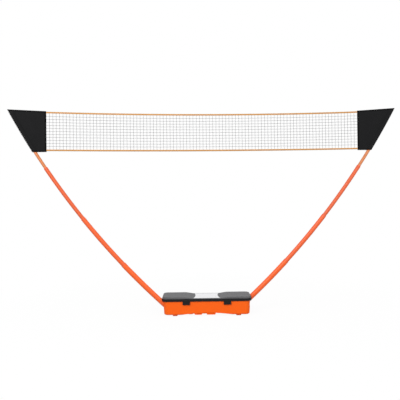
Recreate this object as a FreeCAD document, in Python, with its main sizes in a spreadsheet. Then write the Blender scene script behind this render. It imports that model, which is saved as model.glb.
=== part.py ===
import FreeCAD, Part
import math
import os
import re
import Sketcher

# A free-standing net for back-garden games. Two telescopic poles lean out of the ends of a
# hard carry case, which is also the foot, and hold the net tight between them.
# The net runs along X, the front of the case is at -Y and the floor is at Z = 0.
# The part is the same after half a turn about Z, but for the hinges, latches and grip.

doc = FreeCAD.newDocument("PortableNet")
sheet = doc.addObject("Spreadsheet::Sheet", "Sizes")

sizes = [
    ("pole_curve_radius", 5650, "bend of the loaded poles, measured on the centre line"),
    ("socket_lean", 47.45, "lean of a pole from the vertical where it leaves the case, degrees"),
    ("mouth_inset", 6, "start of the poles' measured length, in from the case's end"),
    ("socket_mouth_z", 87.5, "height of a pole's axis at that start"),
    ("pole_offset", 58, "each pole plane lies this far from the middle plane of the case"),
    ("base_tube_diameter", 40, "outside"),
    ("lower_tube_diameter", 35, "outside"),
    ("upper_tube_diameter", 30, "outside"),
    ("tip_diameter", 24, "outside, glass fibre"),
    ("tube_wall", 1.5, "steel tubes"),
    ("tip_wall", 3, "glass fibre tube"),
    ("slide_clearance", 0.3, "gap all round between sliding pieces"),
    ("socket_depth", 72, "pole length inside the case"),
    ("base_reach", 436, "from that start to the mouth of the base tube, along the pole"),
    ("lower_reach", 466, "drawn-out length of the lower tube"),
    ("upper_reach", 479, "drawn-out length of the upper tube"),
    ("tip_drop", 9.8, "the tip ends this far below the panel's upper inner corner"),
    ("tube_overlap", 80, "length that stays inside the next tube"),
    ("mouth_ring_length", 8, "plastic ring on a tube's mouth"),
    ("tail_bush_length", 20, "plastic bush on a tube's tail"),
    ("plug_length", 6, "plug in the heel of the base tube"),
    ("cap_length", 6, "cap on the end of the tip"),
    ("sleeve_wall", 2, "fabric sleeve round the tip"),
    ("sleeve_room", 4, "between the tip's cap and the blind end of the sleeve"),
    ("fabric_thickness", 3, "end panel, two layers and the net between"),
    ("panel_inner_x", 1211, "inner edge of an end panel"),
    ("panel_bottom_z", 1260, "lower edge of an end panel"),
    ("panel_top_z", 1570, "upper inner corner of an end panel"),
    ("panel_rise", 16, "the upper edge climbs this much towards the pole"),
    ("binding_width", 12, "webbing down the inner edge"),
    ("binding_thickness", 5, "webbing folded round the inner edge"),
    ("tape_height", 12, "webbing along the net"),
    ("tape_thickness", 2.4, "webbing folded double"),
    ("top_tape_inset", 9, "middle of the top tape below the panels' upper inner corner"),
    ("top_tape_sag", 20, "drop of the top tape at mid span"),
    ("bottom_tape_inset", 13, "middle of the bottom tape above the panels' lower edge"),
    ("bottom_tape_sag", 9, "drop of the bottom tape at mid span"),
    ("cord_thickness", 1.6, "net cord"),
    ("net_columns", 50, "gaps along the net, each standing for two by two"),
    ("net_rows", 6, "gaps up the net, each standing for two by two"),
    ("sag_steps", 24, "straight lengths that a sagging edge is drawn in"),
    ("sewing_gap", 0.3, "between the net and the panels"),
    ("case_length", 662, "at the rim"),
    ("case_depth", 200, "at the rim"),
    ("case_rim_z", 113.3, "top edge of the case"),
    ("case_bottom_z", 10, "underside of the case at its ends"),
    ("case_draft", 6, "each wall leans in this much to the underside"),
    ("case_corner_radius", 36, "upright corners"),
    ("case_bottom_radius", 10, "edge between walls and underside"),
    ("case_wall", 3, "moulded plastic"),
    ("arch_length", 400, "the underside arches up over this length"),
    ("arch_rise", 16, "height of that arch"),
    ("sleeve_clearance", 0.2, "round a socket sleeve in the case"),
    ("socket_wall", 3, "socket sleeve"),
    ("foot_end_inset", 90, "middle of a foot in from the case's end"),
    ("foot_side_inset", 32, "middle of a foot in from the case's front or back"),
    ("foot_length", 36, "along X"),
    ("foot_width", 24, "along Y"),
    ("foot_edge", 3, "chamfer round the tread"),
    ("grip_centre_x", -36, "middle of the grip"),
    ("grip_length", 204, "end to end"),
    ("grip_front_y", -88, "front of the grip"),
    ("grip_width", 22, "along Y"),
    ("grip_clearance", 10, "the swellings stand this far off the floor"),
    ("grip_web_z", 19, "lower edge between the swellings"),
    ("grip_lug_z", 15, "lower edge of the end lug"),
    ("grip_lug_length", 30, "end lug"),
    ("grip_lug_gap", 14, "between the lug and the first swelling"),
    ("first_swelling", 58, "length"),
    ("swelling_gap", 34, "between the swellings"),
    ("swelling_radius", 8, "ends of the swellings"),
    ("recess_width", 42, "finger recess behind the grip, along Y"),
    ("recess_height", 42, "finger recess above the underside"),
    ("lid_overhang_end", 9, "the lid frame stands out past each end of the case's rim"),
    ("lid_overhang_side", 6, "the lid frame stands out past the front and back of the rim"),
    ("lid_corner_radius", 38, "lid frame"),
    ("lid_gap", 0.3, "between case rim and lid frame"),
    ("frame_height", 19, "lid frame"),
    ("frame_width", 16, "lid frame"),
    ("pole_notch", 1.5, "room round a pole in the lid frame"),
    ("panel_edge", 2, "the lid's top panel is set back this much"),
    ("lobe_height", 14, "top panel over the raised lobes"),
    ("valley_height", 4, "top panel under the plate"),
    ("valley_half_length", 103, "flat middle of the panel"),
    ("slope_length", 60, "from the flat middle up to a lobe"),
    ("lobe_edge_radius", 6, "round the top of the lobes"),
    ("plate_thickness", 1.2, "metal plate"),
    ("plate_proud", 0.4, "the plate stands this much above its seat's edge"),
    ("plate_front_half", 101, "plate, half length at its front edge"),
    ("plate_waist_half", 86, "plate, half length where the lobes bulge into it most"),
    ("plate_back_half", 94, "plate, half length at its back edge"),
    ("plate_half_depth", 94, "plate, half its depth"),
    ("hinge_x", 180, "hinges from the middle"),
    ("hinge_z", 106, "height of the hinge axis"),
    ("hinge_reach", 7, "hinge axis behind the case's rim"),
    ("knuckle_radius", 5, "hinges and latch barrels"),
    ("hinge_pin_radius", 2, "steel pin"),
    ("bracket_height", 8, "bracket below the hinge axis"),
    ("ear_width", 10, "each of a bracket's two ears"),
    ("knuckle_width", 20, "lid knuckle between the ears"),
    ("side_play", 0.3, "each side of a knuckle or latch"),
    ("pin_clearance", 0.05, "round a pin in a moving knuckle"),
    ("latch_x", 155, "latches from the middle"),
    ("latch_width", 55, "along X"),
    ("latch_drop", 25, "below the lid frame"),
    ("latch_pivot_z", 123, "height of the latch axis"),
    ("latch_reach", 3, "latch axis in front of the case's rim"),
    ("latch_thickness", 6, "latch plate"),
    ("latch_swing", 1, "room above the barrel, into which the open latch tips back"),
    ("latch_pin_radius", 1.6, "steel pin"),
    ("latch_pin_seat", 5, "pin length in the lid frame at each end"),
    ("screw_radius", 4, "pan heads under the grip"),
    ("screw_head", 2, "height of a pan head"),
    ("overrun", 60, "cutting shapes run past what they cut by this much"),
]

# Edges and faces closer together than this count as one, in millimetres.
hair = 0.01

for row, (alias, value, note) in enumerate(sizes, 1):
    sheet.set("A%d" % row, alias)
    sheet.set("B%d" % row, str(value))
    sheet.set("C%d" % row, note)
    sheet.setAlias("B%d" % row, alias)
doc.recompute()


def size(alias):
    return float(sheet.get(alias))


def cells(text):
    # Writes the sheet's name before each alias in an expression.
    aliases = {alias for alias, value, note in sizes}

    def name_cell(word):
        return "Sizes." + word.group() if word.group() in aliases else word.group()

    return re.sub("[a-z_]+", name_cell, text)


# Derived places, as expressions on the sheet.
# A pole's centre line is an arc in an upright plane. Along it, a place is given by its
# arc length from a point just inside the case's end. The arc's centre is past the net.
mouth_x = "(case_length / 2 - mouth_inset)"
centre_x = "(pole_curve_radius * cos(socket_lean) - %s)" % mouth_x
centre_z = "(socket_mouth_z + pole_curve_radius * sin(socket_lean))"
base_top = "base_reach"
lower_top = "(base_reach + lower_reach)"
upper_top = "(base_reach + lower_reach + upper_reach)"
frame_bottom = "(case_rim_z + lid_gap)"
frame_top = "(case_rim_z + lid_gap + frame_height)"
hinge_y = "(case_depth / 2 + hinge_reach)"
latch_y = "(0 - case_depth / 2 - latch_reach)"
lid_end = "(case_length / 2 + lid_overhang_end)"
lid_side = "(case_depth / 2 + lid_overhang_side)"


def lean_at(distance):
    return "(socket_lean - %s / pole_curve_radius * 180 / pi)" % distance


def distance_at(height):
    # Where along a pole its centre line reaches a height.
    lean = "asin((%s - (%s)) / pole_curve_radius) / 1 deg" % (centre_z, height)
    return "((socket_lean - %s) * pi / 180 * pole_curve_radius)" % lean


sleeve_start = distance_at("panel_bottom_z")
tip_top = distance_at("panel_top_z - tip_drop")


def bind(feature, path, text):
    feature.setExpression(path, cells(text))


def new_body(name):
    return doc.addObject("PartDesign::Body", name)


def origin_plane(body, role):
    for feature in body.Origin.OriginFeatures:
        if feature.Role == role:
            return feature
    raise ValueError(role)


def new_sketch(body, role, name, height=None):
    sketch = body.newObject("Sketcher::SketchObject", name)
    sketch.AttachmentSupport = [(origin_plane(body, role), "")]
    sketch.MapMode = "FlatFace"
    if height is not None:
        bind(sketch, "AttachmentOffset.Base.z", height)
    return sketch


def fix(sketch, kind, places, text, start):
    # Adds one dimension to a sketch and binds it to the sheet.
    number = sketch.addConstraint(Sketcher.Constraint(kind, *places, start))
    sketch.setExpression("Constraints[%d]" % number, cells(text))


def draw_circle(sketch, x, radius, start_x, start_radius):
    circle = Part.Circle(FreeCAD.Vector(start_x, 0, 0), FreeCAD.Vector(0, 0, 1), start_radius)
    number = sketch.addGeometry(circle)
    sketch.addConstraint(Sketcher.Constraint("PointOnObject", number, 3, -1))
    fix(sketch, "DistanceX", (-1, 1, number, 3), x, start_x)
    fix(sketch, "Radius", (number,), radius, start_radius)


def value_of(text):
    # The number that an expression on the sheet gives now, to start a sketch close to it.
    number = sheet.evalExpression(cells(text))
    return float(getattr(number, "Value", number))


def draw_outline(sketch, points):
    # A closed outline of straight edges through points given as pairs of expressions.
    places = [(value_of(x), value_of(y)) for x, y in points]
    count = len(places)
    for number in range(count):
        first = FreeCAD.Vector(*places[number], 0)
        second = FreeCAD.Vector(*places[(number + 1) % count], 0)
        sketch.addGeometry(Part.LineSegment(first, second))
    for number in range(count):
        sketch.addConstraint(Sketcher.Constraint("Coincident", number, 2, (number + 1) % count, 1))
    for number, (x, y) in enumerate(points):
        fix(sketch, "DistanceX", (-1, 1, number, 1), x, places[number][0])
        fix(sketch, "DistanceY", (-1, 1, number, 1), y, places[number][1])


def draw_rectangle(sketch, left, right, low, high):
    draw_outline(sketch, [(left, low), (right, low), (right, high), (left, high)])


def pad(body, sketch, length, name, middle=False):
    feature = body.newObject("PartDesign::Pad", name)
    feature.Profile = sketch
    feature.Midplane = middle
    bind(feature, "Length", length)
    return feature


def pocket(body, sketch, length, name, middle=False, backwards=False):
    before = body.Shape.Volume
    feature = body.newObject("PartDesign::Pocket", name)
    feature.Profile = sketch
    feature.Midplane = middle
    feature.Reversed = backwards
    bind(feature, "Length", length)
    doc.recompute()
    if body.Shape.Volume > before - hair:
        raise ValueError(name + " cuts nothing")
    return feature


def edge_names(shape, wanted):
    return ["Edge%d" % number for number, edge in enumerate(shape.Edges, 1) if wanted(edge)]


def fillet(body, base, wanted, radius, name):
    doc.recompute()
    feature = body.newObject("PartDesign::Fillet", name)
    feature.Base = (base, edge_names(base.Shape, wanted))
    bind(feature, "Radius", radius)
    doc.recompute()
    return feature


def chamfer(body, base, wanted, width, name):
    doc.recompute()
    feature = body.newObject("PartDesign::Chamfer", name)
    feature.Base = (base, edge_names(base.Shape, wanted))
    bind(feature, "Size", width)
    doc.recompute()
    return feature


def place(thing, x="0", y="0", z="0"):
    bind(thing, "Placement.Base.x", x)
    bind(thing, "Placement.Base.y", y)
    bind(thing, "Placement.Base.z", z)


def box(name, left, right, front, back, low, high):
    block = doc.addObject("Part::Box", name)
    bind(block, "Length", "%s - ( %s )" % (right, left))
    bind(block, "Width", "%s - ( %s )" % (back, front))
    bind(block, "Height", "%s - ( %s )" % (high, low))
    place(block, left, front, low)
    return block


def rod_along_x(name, middle, y, z, radius, length):
    rod = doc.addObject("Part::Cylinder", name)
    bind(rod, "Radius", radius)
    bind(rod, "Height", length)
    rod.Placement = FreeCAD.Placement(FreeCAD.Vector(), FreeCAD.Rotation(FreeCAD.Vector(0, 1, 0), 90))
    place(rod, "%s - ( %s ) / 2" % (middle, length), y, z)
    return rod


def fuse(name, *pieces):
    joined = doc.addObject("Part::MultiFuse", name)
    joined.Shapes = list(pieces)
    return joined


def cut(name, base, tool):
    rest = doc.addObject("Part::Cut", name)
    rest.Base = base
    rest.Tool = tool
    return rest


def common(name, *pieces):
    shared = doc.addObject("Part::MultiCommon", name)
    shared.Shapes = list(pieces)
    return shared


parts = []


def part(name, thing):
    # Names a finished sub-part. Its label is its node.
    thing.Label = name
    parts.append(thing)
    return thing


# A side is -1 for the left pole, in the front half of the case, and 1 for the right pole.
sides = (("left", -1), ("right", 1))


def along_pole(name, side, outer, inner, start, end, plane=None):
    # A length of tube or rod on a pole's centre line, turned about the arc's centre.
    # The plane is the pole's own, unless an unused socket on the other side is meant.
    plane = side if plane is None else plane
    body = new_body(name)
    section = new_sketch(body, "XY_Plane", name + "Section")
    start_x = side * size("pole_curve_radius")
    draw_circle(section, "%d * pole_curve_radius" % side, "(%s) / 2" % outer, start_x, value_of(outer) / 2)
    if inner is not None:
        draw_circle(section, "%d * pole_curve_radius" % side, "(%s) / 2" % inner, start_x,
                    value_of(inner) / 2)
    turn = body.newObject("PartDesign::Revolution", name + "Turn")
    turn.Profile = section
    turn.ReferenceAxis = (section, ["V_Axis"])
    bind(turn, "Angle", "(%s - (%s)) / pole_curve_radius * 180 / pi" % (end, start))
    body.Placement = FreeCAD.Placement(FreeCAD.Vector(), FreeCAD.Rotation(FreeCAD.Vector(0, 1, 0), 1))
    first = "0 - " + lean_at("(%s)" % start) if side < 0 else lean_at("(%s)" % end)
    bind(body, "Placement.Rotation.Angle", "(%s) * 1 deg" % first)
    place(body, "%d * %s" % (-side, centre_x), "%d * pole_offset" % plane, centre_z)
    doc.recompute()
    return body


def make_poles():
    bore = "%s_tube_diameter - 2 * tube_wall"
    heel = "0 - socket_depth + slide_clearance"
    for side_name, side in sides:
        tubes = [
            ("base", heel + " + plug_length", base_top),
            ("lower", "base_reach - tube_overlap + tail_bush_length", lower_top),
            ("upper", lower_top + " - tube_overlap + tail_bush_length", upper_top),
        ]
        followers = {"base": "lower_tube_diameter", "lower": "upper_tube_diameter", "upper": "tip_diameter"}
        holders = {"lower": "base", "upper": "lower"}
        for tube, tail, top in tubes:
            name = side_name + "_" + tube
            outer = tube + "_tube_diameter"
            part(name + "_tube", along_pole(name + "Tube", side, outer, bore % tube, tail,
                                            top + " - mouth_ring_length"))
            part(name + "_mouth_ring", along_pole(name + "Ring", side, outer,
                                                  followers[tube] + " + 2 * slide_clearance",
                                                  top + " - mouth_ring_length", top))
            if tube in holders:
                part(name + "_tail_bush", along_pole(name + "Bush", side,
                                                     bore % holders[tube] + " - 2 * slide_clearance",
                                                     bore % tube, tail + " - tail_bush_length", tail))
        part(side_name + "_heel_plug", along_pole(side_name + "Plug", side, "base_tube_diameter", None,
                                                  heel, heel + " + plug_length"))
        tip_tail = upper_top + " - tube_overlap"
        part(side_name + "_tip", along_pole(side_name + "Tip", side, "tip_diameter",
                                            "tip_diameter - 2 * tip_wall",
                                            tip_tail + " + tail_bush_length", tip_top + " - cap_length"))
        part(side_name + "_tip_tail_bush", along_pole(side_name + "TipBush", side,
                                                      bore % "upper" + " - 2 * slide_clearance",
                                                      "tip_diameter - 2 * tip_wall",
                                                      tip_tail, tip_tail + " + tail_bush_length"))
        cap = along_pole(side_name + "Cap", side, "tip_diameter", None, tip_top + " - cap_length", tip_top)
        part(side_name + "_tip_cap", cap)


def make_panels():
    # Each end panel is a flat of fabric with a sleeve along its leaning edge for the pole's tip.
    # It is trimmed along the panel's upper and lower edges.
    for side_name, side in sides:
        end = tip_top + " + overrun"
        outer = "tip_diameter + 2 * slide_clearance + 2 * sleeve_wall"
        inner = "tip_diameter + 2 * slide_clearance"
        sleeve = along_pole(side_name + "Sleeve", side, outer, None, sleeve_start + " - overrun", end)
        bore = along_pole(side_name + "SleeveBore", side, inner, None, sleeve_start + " - 2 * overrun",
                           tip_top + " + sleeve_room")
        angle_low = lean_at("(%s)" % sleeve_start)
        angle_high = lean_at("(%s)" % end)

        def on_pole(angle):
            return ("%d * (pole_curve_radius * cos(%s) - %s)" % (side, angle, centre_x),
                    "%s - pole_curve_radius * sin(%s)" % (centre_z, angle))

        flat = new_body(side_name + "Flat")
        outline = new_sketch(flat, "XZ_Plane", side_name + "FlatOutline")
        inner_edge = "%d * (panel_inner_x + binding_width)" % side
        low = on_pole(angle_low)
        high = on_pole(angle_high)
        draw_outline(outline, [(inner_edge, "panel_bottom_z - overrun"), (low[0], "panel_bottom_z - overrun"),
                               low, on_pole(lean_at("((%s + %s) / 2)" % (sleeve_start, tip_top))), high,
                               (inner_edge, high[1])])
        pad(flat, outline, "fabric_thickness", side_name + "FlatPad", middle=True)
        place(flat, "0", "%d * pole_offset" % side)

        trim = new_body(side_name + "Trim")
        shape = new_sketch(trim, "XZ_Plane", side_name + "TrimOutline")
        far = "(panel_top_z - panel_bottom_z + 2 * overrun)"
        far_x = "%d * (panel_inner_x + %s)" % (side, far)
        slope = "panel_rise / (%s - panel_inner_x)" % (
            "(pole_curve_radius * cos(%s) - %s)" % (lean_at("(%s)" % tip_top), centre_x))
        draw_outline(shape, [(inner_edge, "panel_bottom_z"), (far_x, "panel_bottom_z"),
                             (far_x, "panel_top_z + %s * %s" % (far, slope)),
                             (inner_edge, "panel_top_z + binding_width * %s" % slope)])
        pad(trim, shape, "2 * overrun", side_name + "TrimPad", middle=True)
        place(trim, "0", "%d * pole_offset" % side)

        whole = fuse(side_name + "PanelWhole", sleeve, flat)
        hollow = cut(side_name + "PanelHollow", whole, bore)
        part(side_name + "_end_panel", common(side_name + "Panel", hollow, trim))

        binding = new_body(side_name + "Binding")
        strip = new_sketch(binding, "XZ_Plane", side_name + "BindingOutline")
        draw_outline(strip, [("%d * panel_inner_x" % side, "panel_bottom_z"),
                             (inner_edge, "panel_bottom_z"),
                             (inner_edge, "panel_top_z + binding_width * %s" % slope),
                             ("%d * panel_inner_x" % side, "panel_top_z")])
        pad(binding, strip, "binding_thickness", side_name + "BindingPad", middle=True)
        place(binding, "0", "%d * pole_offset" % side)
        part(side_name + "_panel_binding", binding)


def net_edge(end_height, sag, along):
    # Height of a sagging edge, a parabola, at a place from -1 to 1 along the net.
    return end_height - sag * (1 - along * along)


def make_net():
    # The net hangs between the panels in one upright plane, so it crosses the case at a
    # small angle. Its gaps are cut from one face, and its rows follow the sag of the tapes.
    offset = size("pole_offset")
    reach = size("panel_inner_x") - size("sewing_gap")
    half = math.hypot(reach, offset)
    turn = FreeCAD.Rotation(FreeCAD.Vector(0, 0, 1), math.degrees(math.atan2(offset, reach)))
    tape = size("tape_height")
    top_end = size("panel_top_z") - size("top_tape_inset")
    top_sag = size("top_tape_sag")
    low_end = size("panel_bottom_z") + size("bottom_tape_inset")
    low_sag = size("bottom_tape_sag")
    columns = int(size("net_columns"))
    rows = int(size("net_rows"))
    cord = size("cord_thickness")
    steps = int(size("sag_steps"))

    def strip(low, high, low_drop, high_drop):
        places = [-1 + 2 * step / steps for step in range(steps + 1)]
        under = [FreeCAD.Vector(half * at, 0, net_edge(low, low_drop, at)) for at in places]
        over = [FreeCAD.Vector(half * at, 0, net_edge(high, high_drop, at)) for at in reversed(places)]
        return Part.makePolygon(under + over + [under[0]])

    def finish(name, face, thickness):
        face.translate(FreeCAD.Vector(0, thickness / 2, 0))
        thing = doc.addObject("Part::Feature", name)
        thing.Shape = face.extrude(FreeCAD.Vector(0, -thickness, 0))
        thing.Placement = FreeCAD.Placement(FreeCAD.Vector(), turn)
        part(name, thing)

    for name, end, sag in (("top_tape", top_end, top_sag), ("bottom_tape", low_end, low_sag)):
        outline = strip(end - tape / 2, end + tape / 2, sag, sag)
        finish(name, Part.Face(outline), size("tape_thickness"))

    low = low_end + tape / 2
    high = top_end - tape / 2
    wires = [strip(low, high, low_sag, top_sag)]
    margin = cord / 2 / half
    for column in range(columns):
        left = -1 + 2 * column / columns + margin
        right = -1 + 2 * (column + 1) / columns - margin
        for row in range(rows):
            corners = []
            for at, up, lift in ((left, row, 1), (right, row, 1), (right, row + 1, -1), (left, row + 1, -1)):
                bottom = net_edge(low, low_sag, at)
                rise = net_edge(high, top_sag, at) - bottom
                corners.append(FreeCAD.Vector(half * at, 0, bottom + rise * up / rows + lift * cord / 2))
            wires.append(Part.makePolygon(corners + [corners[0]]))
    finish("net_mesh", Part.makeFace(wires, "Part::FaceMakerCheese"), cord)


def upright(edge):
    # True for a straight edge that climbs, also with a wall's draft.
    way = edge.Vertexes[0].Point - edge.Vertexes[-1].Point
    return abs(way.z) > 0.9 * way.Length > 0


def tapered_block(name, inset, low, high, corner_radius, bottom_radius):
    # A box with rounded corners whose walls lean out, parallel to the case's outside and
    # set in from it by the inset.
    lean = "(case_draft * (%s - case_bottom_z) / (case_rim_z - case_bottom_z))" % low
    half_length = "(case_length / 2 - case_draft + %s - %s)" % (lean, inset)
    half_depth = "(case_depth / 2 - case_draft + %s - %s)" % (lean, inset)
    body = new_body(name)
    foot = new_sketch(body, "XY_Plane", name + "Foot", low)
    draw_rectangle(foot, "0 - " + half_length, half_length, "0 - " + half_depth, half_depth)
    block = pad(body, foot, "%s - (%s)" % (high, low), name + "Block")
    bind(block, "TaperAngle", "atan(case_draft / (case_rim_z - case_bottom_z))")
    corners = fillet(body, block, upright, corner_radius, name + "Corners")
    bottom = value_of(low)
    fillet(body, corners, lambda edge: edge.BoundBox.ZMax < bottom + hair,
           bottom_radius, name + "BottomEdge")
    return body


def arch_tool(name, thickness):
    # The underside's arch is part of a large cylinder across the case.
    tool = doc.addObject("Part::Cylinder", name)
    radius = "((arch_length * arch_length / 4 + arch_rise * arch_rise) / (2 * arch_rise))"
    bind(tool, "Radius", "%s + %s" % (radius, thickness))
    bind(tool, "Height", "case_depth * 2")
    tool.Placement = FreeCAD.Placement(FreeCAD.Vector(), FreeCAD.Rotation(FreeCAD.Vector(1, 0, 0), -90))
    place(tool, "0", "0 - case_depth", "case_bottom_z + arch_rise - " + radius)
    return tool


grip_left = "(grip_centre_x - grip_length / 2)"
grip_right = "(grip_centre_x + grip_length / 2)"
grip_back = "(grip_front_y + grip_width)"


def recess_tool(name, thickness):
    # The finger recess behind the grip.
    return box(name, "%s - %s" % (grip_left, thickness), "%s + %s" % (grip_right, thickness),
               "%s - %s" % (grip_back, thickness), "%s + recess_width + %s" % (grip_back, thickness),
               "0", "case_bottom_z + recess_height + %s" % thickness)


def straight_rod(name, side, plane, radius, start, end):
    # A straight rod that touches a pole's arc half way down its socket.
    middle = "(0 - socket_depth / 2)"
    lean = lean_at(middle)
    x = "%d * (pole_curve_radius * cos(%s) - %s + (%s - %s) * sin(%s))" % (
        side, lean, centre_x, start, middle, lean)
    z = "%s - pole_curve_radius * sin(%s) + (%s - %s) * cos(%s)" % (centre_z, lean, start, middle, lean)
    rod = doc.addObject("Part::Cylinder", name)
    bind(rod, "Radius", radius)
    bind(rod, "Height", "%s - %s" % (end, start))
    rod.Placement = FreeCAD.Placement(FreeCAD.Vector(), FreeCAD.Rotation(FreeCAD.Vector(0, side, 0), 1))
    bind(rod, "Placement.Rotation.Angle", "%s * 1 deg" % lean)
    place(rod, x, "%d * pole_offset" % plane, z)
    return rod


def make_case():
    # The case is one moulding of even wall. Its underside arches up between the feet, and
    # the finger recess and the arch show inside as humps. A socket goes in at each corner.
    outside = tapered_block("CaseOutside", "0", "case_bottom_z", "case_rim_z",
                            "case_corner_radius", "case_bottom_radius")
    inside = tapered_block("CaseInside", "case_wall", "(case_bottom_z + case_wall)", "(case_rim_z + overrun)",
                           "case_corner_radius - case_wall", "case_bottom_radius - case_wall")
    humps = fuse("Humps", arch_tool("ArchHump", "case_wall"), recess_tool("RecessHump", "case_wall"))
    cavity = cut("Cavity", inside, humps)
    arch = arch_tool("ArchTool", "0")
    sockets = []
    holes = []
    bore = "base_tube_diameter / 2 + slide_clearance"
    outer = bore + " + socket_wall"
    for side_name, side in sides:
        for kind, plane in (("", side), ("_spare", -side)):
            name = side_name + kind + "_socket"
            floor = "(0 - socket_depth - socket_wall)"
            cup = straight_rod(name + "Cup", side, plane, outer, floor, "overrun")
            room = straight_rod(name + "Bore", side, plane, bore, "(0 - socket_depth)", "2 * overrun")
            hollow = cut(name + "Hollow", cup, room)
            sockets.append((name, hollow))
            holes.append(straight_rod(name + "Hole", side, plane, outer + " + sleeve_clearance",
                                      "(0 - socket_depth - socket_wall - sleeve_clearance)", "2 * overrun"))
    tools = fuse("CaseTools", cavity, arch, recess_tool("RecessTool", "0"), *holes)
    part("case_base", cut("CaseBase", outside, tools))
    for name, hollow in sockets:
        part(name, common(name + "Trimmed", hollow, outside))
    return cut("ArchedOutside", outside, arch)


def make_feet():
    for row_name, row in (("front", -1), ("rear", 1)):
        for side_name, side in sides:
            name = "%s_%s_foot" % (row_name, side_name)
            body = new_body(name + "Body")
            tread = new_sketch(body, "XY_Plane", name + "Tread")
            along = "%d * (case_length / 2 - foot_end_inset)" % side
            across = "%d * (case_depth / 2 - foot_side_inset)" % row
            draw_rectangle(tread, along + " - foot_length / 2", along + " + foot_length / 2",
                           across + " - foot_width / 2", across + " + foot_width / 2")
            block = pad(body, tread, "case_bottom_z", name + "Pad")
            chamfer(body, block, lambda edge: edge.BoundBox.ZMax < hair, "foot_edge", name + "Edge")
            part(name, body)


def make_grip(arched_outside):
    # A bar under the front edge, with a lug at one end and two swellings for the fingers.
    body = new_body("GripBody")
    outline = new_sketch(body, "XZ_Plane", "GripOutline")
    lug_end = grip_left + " + grip_lug_length"
    first_start = lug_end + " + grip_lug_gap"
    first_end = first_start + " + first_swelling"
    second_start = first_end + " + swelling_gap"
    top = "case_bottom_z + arch_rise + case_wall"
    draw_outline(outline, [(grip_left, top), (grip_left, "grip_lug_z"), (lug_end, "grip_lug_z"),
                           (lug_end, "grip_web_z"), (first_start, "grip_web_z"),
                           (first_start, "grip_clearance"), (first_end, "grip_clearance"),
                           (first_end, "grip_web_z"), (second_start, "grip_web_z"),
                           (second_start, "grip_clearance"), (grip_right, "grip_clearance"),
                           (grip_right, top)])
    bar = pad(body, outline, "grip_width", "GripPad", middle=True)
    swelling = size("grip_clearance")
    fillet(body, bar, lambda edge: edge.BoundBox.ZMax < swelling + hair and edge.BoundBox.XLength < hair,
           "swelling_radius", "SwellingEnds")
    place(body, "0", "grip_front_y + grip_width / 2")
    part("carry_grip", cut("Grip", body, arched_outside))
    heads = []
    for number, x in enumerate((lug_end + " + grip_lug_gap / 2", first_end + " + swelling_gap / 2")):
        head = doc.addObject("Part::Cylinder", "ScrewHead%d" % number)
        bind(head, "Radius", "screw_radius")
        bind(head, "Height", "screw_head")
        place(head, x, "grip_front_y + grip_width / 2", "grip_web_z - screw_head")
        heads.append(head)
    part("grip_screws", fuse("GripScrews", *heads))


def make_hinges():
    # Brackets on the case's back wall, each with two ears, and a pin through both.
    knuckle = "(knuckle_width / 2 + side_play)"
    half = "(knuckle_width / 2 + side_play + ear_width)"
    for side_name, side in sides:
        middle = "%d * hinge_x" % side
        name = side_name + "_hinge"
        block = box(name + "Block", "%s - %s" % (middle, half), "%s + %s" % (middle, half),
                    "case_depth / 2 - bracket_height", hinge_y, "hinge_z - bracket_height", "hinge_z")
        barrel = rod_along_x(name + "Barrel", middle, hinge_y, "hinge_z", "knuckle_radius", "2 * " + half)
        gap = box(name + "Gap", "%s - %s" % (middle, knuckle), "%s + %s" % (middle, knuckle),
                  hinge_y + " - knuckle_radius - side_play", hinge_y + " + 2 * knuckle_radius",
                  "hinge_z - 2 * bracket_height", "hinge_z + 2 * knuckle_radius")
        bore = rod_along_x(name + "Bore", middle, hinge_y, "hinge_z", "hinge_pin_radius + pin_clearance",
                           "4 * " + half)
        solid = fuse(name + "Solid", block, barrel)
        tools = fuse(name + "Tools", gap, bore, doc.getObject("CaseOutside"))
        part(name + "_bracket", cut(name + "Bracket", solid, tools))
        part(name + "_pin", rod_along_x(name + "Pin", middle, hinge_y, "hinge_z", "hinge_pin_radius",
                                        "2 * " + half))


latch_room = "(latch_width / 2 + side_play)"
pin_length = "latch_width + 2 * side_play + 2 * latch_pin_seat"


def draw_plate(sketch):
    # Straight along the front and back. The ends are hollow curves, which the lobes fill.
    corners = [("0 - plate_front_half", "0 - plate_half_depth"), ("plate_front_half", "0 - plate_half_depth"),
               ("plate_back_half", "plate_half_depth"), ("0 - plate_back_half", "plate_half_depth")]
    waists = [("plate_waist_half", "0"), ("0 - plate_waist_half", "0")]
    places = [FreeCAD.Vector(value_of(x), value_of(y), 0) for x, y in corners]
    middles = [FreeCAD.Vector(value_of(x), value_of(y), 0) for x, y in waists]
    front = sketch.addGeometry(Part.LineSegment(places[0], places[1]))
    right = sketch.addGeometry(Part.Arc(places[1], middles[0], places[2]))
    back = sketch.addGeometry(Part.LineSegment(places[2], places[3]))
    left = sketch.addGeometry(Part.Arc(places[3], middles[1], places[0]))
    # A sketch keeps an arc counter-clockwise, so each of these two starts at its far end.
    for first, end, second, start in ((front, 2, right, 2), (right, 1, back, 1), (back, 2, left, 2),
                                      (left, 1, front, 1)):
        sketch.addConstraint(Sketcher.Constraint("Coincident", first, end, second, start))
    for curve, end, number in ((front, 1, 0), (front, 2, 1), (back, 1, 2), (back, 2, 3)):
        fix(sketch, "DistanceX", (-1, 1, curve, end), corners[number][0], places[number].x)
        fix(sketch, "DistanceY", (-1, 1, curve, end), corners[number][1], places[number].y)
    for curve, (x, y), middle in ((right, waists[0], middles[0]), (left, waists[1], middles[1])):
        point = sketch.addGeometry(Part.Point(middle), True)
        fix(sketch, "DistanceX", (-1, 1, point, 1), x, middle.x)
        fix(sketch, "DistanceY", (-1, 1, point, 1), y, middle.y)
        sketch.addConstraint(Sketcher.Constraint("PointOnObject", point, 1, curve))


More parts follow.
